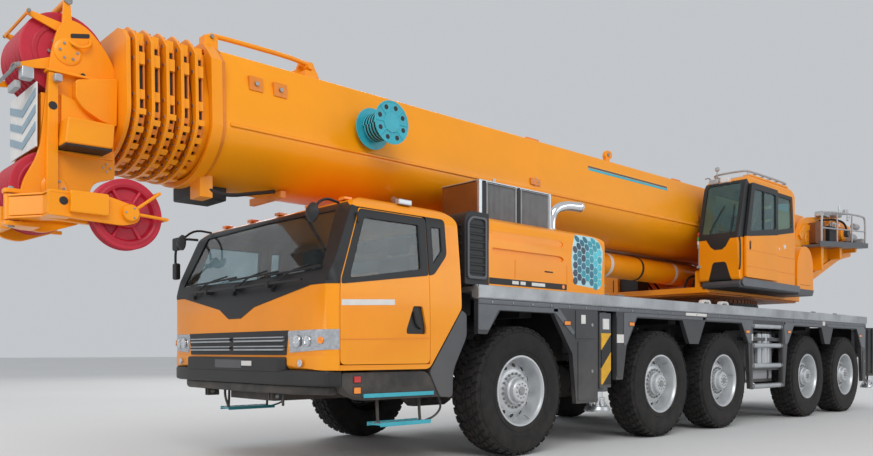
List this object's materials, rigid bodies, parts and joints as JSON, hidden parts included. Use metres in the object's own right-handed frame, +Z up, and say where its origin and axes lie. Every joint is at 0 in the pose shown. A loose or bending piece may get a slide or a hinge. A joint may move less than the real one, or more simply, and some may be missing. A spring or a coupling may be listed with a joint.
{
  "type": "mobile crane",
  "caption": "All-terrain mobile crane with a slewing telescopic boom, side operator's cab, outriggers and an all-wheel carrier.",
  "frame": {"origin": "on the ground, under the middle of the crane's overall length and width, as it parks with the boom forward", "axes": "+X forward along the boom, +Y to the crane's left, +Z up"},
  "size_m": [15.82, 3, 3.97],
  "materials": {
    "chassis_frame": "satin",
    "deck": "satin",
    "side_skirt_left": "satin",
    "side_skirt_right": "satin",
    "cab_shell": "gloss",
    "cab_windscreen": "clear",
    "front_bumper": "matte",
    "engine_hood": "gloss",
    "engine": "matte",
    "axle_1": "matte",
    "axle_2": "matte",
    "axle_3": "matte",
    "axle_4": "matte",
    "axle_5": "matte",
    "cab_door_left": "gloss",
    "cab_door_right": "gloss",
    "knuckle_1_left": "matte",
    "knuckle_1_right": "matte",
    "knuckle_2_left": "matte",
    "knuckle_2_right": "matte",
    "knuckle_4_left": "matte",
    "knuckle_4_right": "matte",
    "knuckle_5_left": "matte",
    "knuckle_5_right": "matte",
    "wheel_1_left": "matte",
    "wheel_1_right": "matte",
    "wheel_2_left": "matte",
    "wheel_2_right": "matte",
    "wheel_3_left": "matte",
    "wheel_3_right": "matte",
    "wheel_4_left": "matte",
    "wheel_4_right": "matte",
    "wheel_5_left": "matte",
    "wheel_5_right": "matte",
    "front_left_outrigger_beam": "satin",
    "front_left_outrigger_jack": "satin",
    "front_right_outrigger_beam": "satin",
    "front_right_outrigger_jack": "satin",
    "rear_left_outrigger_beam": "satin",
    "rear_left_outrigger_jack": "satin",
    "rear_right_outrigger_beam": "satin",
    "rear_right_outrigger_jack": "satin",
    "turntable": "gloss",
    "operator_cab": "gloss",
    "operator_cab_door": "gloss",
    "winch_drum": "satin",
    "luffing_cylinder": "gloss",
    "luffing_rod": "polished",
    "boom_base": "gloss",
    "boom_section_1": "gloss",
    "boom_section_2": "gloss",
    "boom_section_3": "gloss",
    "boom_section_4": "gloss",
    "boom_section_5": "gloss",
    "boom_head": "gloss",
    "top_sheaves": "satin",
    "lower_sheaves": "satin",
    "aux_sheave_bracket": "satin",
    "aux_sheave": "satin",
    "hose_reel": "satin"
  },
  "bodies": {
    "carrier": {"chassis_frame": "chassis_frame", "deck": "deck", "side_skirt_left": "side_skirt_left", "side_skirt_right": "side_skirt_right", "cab_shell": "cab_shell", "cab_windscreen": "cab_windscreen", "front_bumper": "front_bumper", "engine_hood": "engine_hood", "engine": "engine", "axle_1": "axle_1", "axle_2": "axle_2", "axle_3": "axle_3", "axle_4": "axle_4", "axle_5": "axle_5"},
    "turntable": {"turntable": "turntable", "operator_cab": "operator_cab"},
    "cab_door_left": {"cab_door_left": "cab_door_left"},
    "cab_door_right": {"cab_door_right": "cab_door_right"},
    "knuckle_1_left": {"knuckle_1_left": "knuckle_1_left"},
    "knuckle_1_right": {"knuckle_1_right": "knuckle_1_right"},
    "knuckle_2_left": {"knuckle_2_left": "knuckle_2_left"},
    "knuckle_2_right": {"knuckle_2_right": "knuckle_2_right"},
    "knuckle_4_left": {"knuckle_4_left": "knuckle_4_left"},
    "knuckle_4_right": {"knuckle_4_right": "knuckle_4_right"},
    "knuckle_5_left": {"knuckle_5_left": "knuckle_5_left"},
    "knuckle_5_right": {"knuckle_5_right": "knuckle_5_right"},
    "wheel_1_left": {"wheel_1_left": "wheel_1_left"},
    "wheel_1_right": {"wheel_1_right": "wheel_1_right"},
    "wheel_2_left": {"wheel_2_left": "wheel_2_left"},
    "wheel_2_right": {"wheel_2_right": "wheel_2_right"},
    "wheel_3_left": {"wheel_3_left": "wheel_3_left"},
    "wheel_3_right": {"wheel_3_right": "wheel_3_right"},
    "wheel_4_left": {"wheel_4_left": "wheel_4_left"},
    "wheel_4_right": {"wheel_4_right": "wheel_4_right"},
    "wheel_5_left": {"wheel_5_left": "wheel_5_left"},
    "wheel_5_right": {"wheel_5_right": "wheel_5_right"},
    "front_left_outrigger_beam": {"front_left_outrigger_beam": "front_left_outrigger_beam"},
    "front_left_outrigger_jack": {"front_left_outrigger_jack": "front_left_outrigger_jack"},
    "front_right_outrigger_beam": {"front_right_outrigger_beam": "front_right_outrigger_beam"},
    "front_right_outrigger_jack": {"front_right_outrigger_jack": "front_right_outrigger_jack"},
    "rear_left_outrigger_beam": {"rear_left_outrigger_beam": "rear_left_outrigger_beam"},
    "rear_left_outrigger_jack": {"rear_left_outrigger_jack": "rear_left_outrigger_jack"},
    "rear_right_outrigger_beam": {"rear_right_outrigger_beam": "rear_right_outrigger_beam"},
    "rear_right_outrigger_jack": {"rear_right_outrigger_jack": "rear_right_outrigger_jack"},
    "operator_cab_door": {"operator_cab_door": "operator_cab_door"},
    "winch_drum": {"winch_drum": "winch_drum"},
    "luffing_cylinder": {"luffing_cylinder": "luffing_cylinder"},
    "luffing_rod": {"luffing_rod": "luffing_rod"},
    "boom_base": {"boom_base": "boom_base"},
    "boom_section_1": {"boom_section_1": "boom_section_1"},
    "boom_section_2": {"boom_section_2": "boom_section_2"},
    "boom_section_3": {"boom_section_3": "boom_section_3"},
    "boom_section_4": {"boom_section_4": "boom_section_4"},
    "boom_section_5": {"boom_section_5": "boom_section_5"},
    "boom_head": {"boom_head": "boom_head"},
    "top_sheaves": {"top_sheaves": "top_sheaves"},
    "lower_sheaves": {"lower_sheaves": "lower_sheaves"},
    "aux_sheave_bracket": {"aux_sheave_bracket": "aux_sheave_bracket"},
    "aux_sheave": {"aux_sheave": "aux_sheave"},
    "hose_reel": {"hose_reel": "hose_reel"}
  },
  "joints": [
    {"name": "steer_1_left", "type": "hinge", "parent": "carrier", "child": "knuckle_1_left", "pos_m": [3.29, 1, 0.67657], "axis": [0, 0, 1], "range_deg": [-24, 24]},
    {"name": "steer_1_right", "type": "hinge", "parent": "carrier", "child": "knuckle_1_right", "pos_m": [3.29, -1, 0.67657], "axis": [0, 0, 1], "range_deg": [-24.02, 24.02]},
    {"name": "steer_2_left", "type": "hinge", "parent": "carrier", "child": "knuckle_2_left", "pos_m": [0.59, 1, 0.67657], "axis": [0, 0, 1], "range_deg": [-9.12, 9.12]},
    {"name": "steer_2_right", "type": "hinge", "parent": "carrier", "child": "knuckle_2_right", "pos_m": [0.59, -1, 0.67657], "axis": [0, 0, 1], "range_deg": [-9.12, 9.12]},
    {"name": "steer_4_left", "type": "hinge", "parent": "carrier", "child": "knuckle_4_left", "pos_m": [-3.96, 1, 0.67657], "axis": [0, 0, 1], "range_deg": [-16.02, 16.02]},
    {"name": "steer_4_right", "type": "hinge", "parent": "carrier", "child": "knuckle_4_right", "pos_m": [-3.96, -1, 0.67657], "axis": [0, 0, 1], "range_deg": [-16.02, 16.02]},
    {"name": "steer_5_left", "type": "hinge", "parent": "carrier", "child": "knuckle_5_left", "pos_m": [-5.61, 1, 0.67657], "axis": [0, 0, 1], "range_deg": [-25.12, 25.12]},
    {"name": "steer_5_right", "type": "hinge", "parent": "carrier", "child": "knuckle_5_right", "pos_m": [-5.61, -1, 0.67657], "axis": [0, 0, 1], "range_deg": [-25.12, 25.12]},
    {"name": "wheel_1_left_spin", "type": "hinge", "parent": "knuckle_1_left", "child": "wheel_1_left", "pos_m": [3.29, 1.3, 0.67657], "axis": [0, 1, 0], "continuous": true},
    {"name": "wheel_1_right_spin", "type": "hinge", "parent": "knuckle_1_right", "child": "wheel_1_right", "pos_m": [3.29, -1.3, 0.67657], "axis": [0, 1, 0], "continuous": true},
    {"name": "wheel_2_left_spin", "type": "hinge", "parent": "knuckle_2_left", "child": "wheel_2_left", "pos_m": [0.59, 1.3, 0.67657], "axis": [0, 1, 0], "continuous": true},
    {"name": "wheel_2_right_spin", "type": "hinge", "parent": "knuckle_2_right", "child": "wheel_2_right", "pos_m": [0.59, -1.3, 0.67657], "axis": [0, 1, 0], "continuous": true},
    {"name": "wheel_3_left_spin", "type": "hinge", "parent": "carrier", "child": "wheel_3_left", "pos_m": [-1.06, 1.3, 0.67657], "axis": [0, 1, 0], "continuous": true},
    {"name": "wheel_3_right_spin", "type": "hinge", "parent": "carrier", "child": "wheel_3_right", "pos_m": [-1.06, -1.3, 0.67657], "axis": [0, 1, 0], "continuous": true},
    {"name": "wheel_4_left_spin", "type": "hinge", "parent": "knuckle_4_left", "child": "wheel_4_left", "pos_m": [-3.96, 1.3, 0.67657], "axis": [0, 1, 0], "continuous": true},
    {"name": "wheel_4_right_spin", "type": "hinge", "parent": "knuckle_4_right", "child": "wheel_4_right", "pos_m": [-3.96, -1.3, 0.67657], "axis": [0, 1, 0], "continuous": true},
    {"name": "wheel_5_left_spin", "type": "hinge", "parent": "knuckle_5_left", "child": "wheel_5_left", "pos_m": [-5.61, 1.3, 0.67657], "axis": [0, 1, 0], "continuous": true},
    {"name": "wheel_5_right_spin", "type": "hinge", "parent": "knuckle_5_right", "child": "wheel_5_right", "pos_m": [-5.61, -1.3, 0.67657], "axis": [0, 1, 0], "continuous": true},
    {"name": "cab_door_left_hinge", "type": "hinge", "parent": "carrier", "child": "cab_door_left", "pos_m": [5.6, 1.5, 1.66], "axis": [0, 0, -1], "range_deg": [0, 70]},
    {"name": "cab_door_right_hinge", "type": "hinge", "parent": "carrier", "child": "cab_door_right", "pos_m": [5.6, -1.5, 1.66], "axis": [0, 0, 1], "range_deg": [0, 70]},
    {"name": "front_left_outrigger_extend", "type": "slide", "parent": "carrier", "child": "front_left_outrigger_beam", "axis": [0, 1, 0], "range_m": [0, 1.75]},
    {"name": "front_left_outrigger_lower", "type": "slide", "parent": "front_left_outrigger_beam", "child": "front_left_outrigger_jack", "axis": [0, 0, -1], "range_m": [0, 0.55]},
    {"name": "front_right_outrigger_extend", "type": "slide", "parent": "carrier", "child": "front_right_outrigger_beam", "axis": [0, -1, 0], "range_m": [0, 1.75]},
    {"name": "front_right_outrigger_lower", "type": "slide", "parent": "front_right_outrigger_beam", "child": "front_right_outrigger_jack", "axis": [0, 0, -1], "range_m": [0, 0.55]},
    {"name": "rear_left_outrigger_extend", "type": "slide", "parent": "carrier", "child": "rear_left_outrigger_beam", "axis": [0, 1, 0], "range_m": [0, 1.75]},
    {"name": "rear_left_outrigger_lower", "type": "slide", "parent": "rear_left_outrigger_beam", "child": "rear_left_outrigger_jack", "axis": [0, 0, -1], "range_m": [0, 0.55]},
    {"name": "rear_right_outrigger_extend", "type": "slide", "parent": "carrier", "child": "rear_right_outrigger_beam", "axis": [0, -1, 0], "range_m": [0, 1.75]},
    {"name": "rear_right_outrigger_lower", "type": "slide", "parent": "rear_right_outrigger_beam", "child": "rear_right_outrigger_jack", "axis": [0, 0, -1], "range_m": [0, 0.55]},
    {"name": "slew", "type": "hinge", "parent": "carrier", "child": "turntable", "pos_m": [-3.01, 0, 1.9], "axis": [0, 0, 1], "continuous": true},
    {"name": "operator_cab_door_slide", "type": "slide", "parent": "turntable", "child": "operator_cab_door", "axis": [-1, 0, 0], "range_m": [0, 0.72]},
    {"name": "winch_spin", "type": "hinge", "parent": "turntable", "child": "winch_drum", "pos_m": [-6.96, 0, 3.42], "axis": [0, 1, 0], "continuous": true},
    {"name": "boom_luff", "type": "hinge", "parent": "turntable", "child": "boom_base", "pos_m": [-5.76, 0, 3.25], "axis": [0, -1, 0], "range_deg": [0, 80]},
    {"name": "luffing_cylinder_tilt", "type": "hinge", "parent": "turntable", "child": "luffing_cylinder", "pos_m": [-3.33, 0, 2.36], "axis": [0, -1, 0], "range_deg": [0, 92.27]},
    {"name": "luffing_rod_slide", "type": "slide", "parent": "luffing_cylinder", "child": "luffing_rod", "axis": [1, 0, 0.0064], "range_m": [0, 3.073]},
    {"name": "telescope_1", "type": "slide", "parent": "boom_base", "child": "boom_section_1", "axis": [1, 0, 0], "range_m": [0, 7.85]},
    {"name": "telescope_2", "type": "slide", "parent": "boom_section_1", "child": "boom_section_2", "axis": [1, 0, 0], "range_m": [0, 7.852]},
    {"name": "telescope_3", "type": "slide", "parent": "boom_section_2", "child": "boom_section_3", "axis": [1, 0, 0], "range_m": [0, 7.852]},
    {"name": "telescope_4", "type": "slide", "parent": "boom_section_3", "child": "boom_section_4", "axis": [1, 0, 0], "range_m": [0, 7.852]},
    {"name": "telescope_5", "type": "slide", "parent": "boom_section_4", "child": "boom_section_5", "axis": [1, 0, 0], "range_m": [0, 7.852]},
    {"name": "telescope_6", "type": "slide", "parent": "boom_section_5", "child": "boom_head", "axis": [1, 0, 0], "range_m": [0, 7.852]},
    {"name": "top_sheaves_spin", "type": "hinge", "parent": "boom_head", "child": "top_sheaves", "pos_m": [7.41, 0, 3.45], "axis": [0, 1, 0], "continuous": true},
    {"name": "lower_sheaves_spin", "type": "hinge", "parent": "boom_head", "child": "lower_sheaves", "pos_m": [7.51, 0, 2.36], "axis": [0, 1, 0], "continuous": true},
    {"name": "aux_bracket_fold", "type": "hinge", "parent": "boom_head", "child": "aux_sheave_bracket", "pos_m": [7.855, 0.505, 2.145], "axis": [0, 0, -1], "range_deg": [0, 180]},
    {"name": "aux_sheave_spin", "type": "hinge", "parent": "aux_sheave_bracket", "child": "aux_sheave", "pos_m": [7.15, 0.84, 2.13], "axis": [0, 1, 0], "continuous": true},
    {"name": "hose_reel_spin", "type": "hinge", "parent": "boom_base", "child": "hose_reel", "pos_m": [4.65, 0.86, 3.3], "axis": [0, 1, 0], "continuous": true}
  ],
  "couplings": [
    {"joint": "steer_1_right", "follows": "steer_1_left", "ratio": 1},
    {"joint": "steer_2_left", "follows": "steer_1_left", "ratio": 0.3793},
    {"joint": "steer_2_right", "follows": "steer_1_left", "ratio": 0.3793},
    {"joint": "steer_4_left", "follows": "steer_1_left", "ratio": -0.6667},
    {"joint": "steer_4_right", "follows": "steer_1_left", "ratio": -0.6667},
    {"joint": "steer_5_left", "follows": "steer_1_left", "ratio": -1.046},
    {"joint": "steer_5_right", "follows": "steer_1_left", "ratio": -1.046},
    {"joint": "luffing_cylinder_tilt", "follows": "boom_luff", "ratio": 1.1528},
    {"joint": "luffing_rod_slide", "follows": "boom_luff", "m_per_rad": 2.1992},
    {"joint": "telescope_2", "follows": "telescope_1", "ratio": 1},
    {"joint": "telescope_3", "follows": "telescope_1", "ratio": 1},
    {"joint": "telescope_4", "follows": "telescope_1", "ratio": 1},
    {"joint": "telescope_5", "follows": "telescope_1", "ratio": 1},
    {"joint": "telescope_6", "follows": "telescope_1", "ratio": 1}
  ]
}
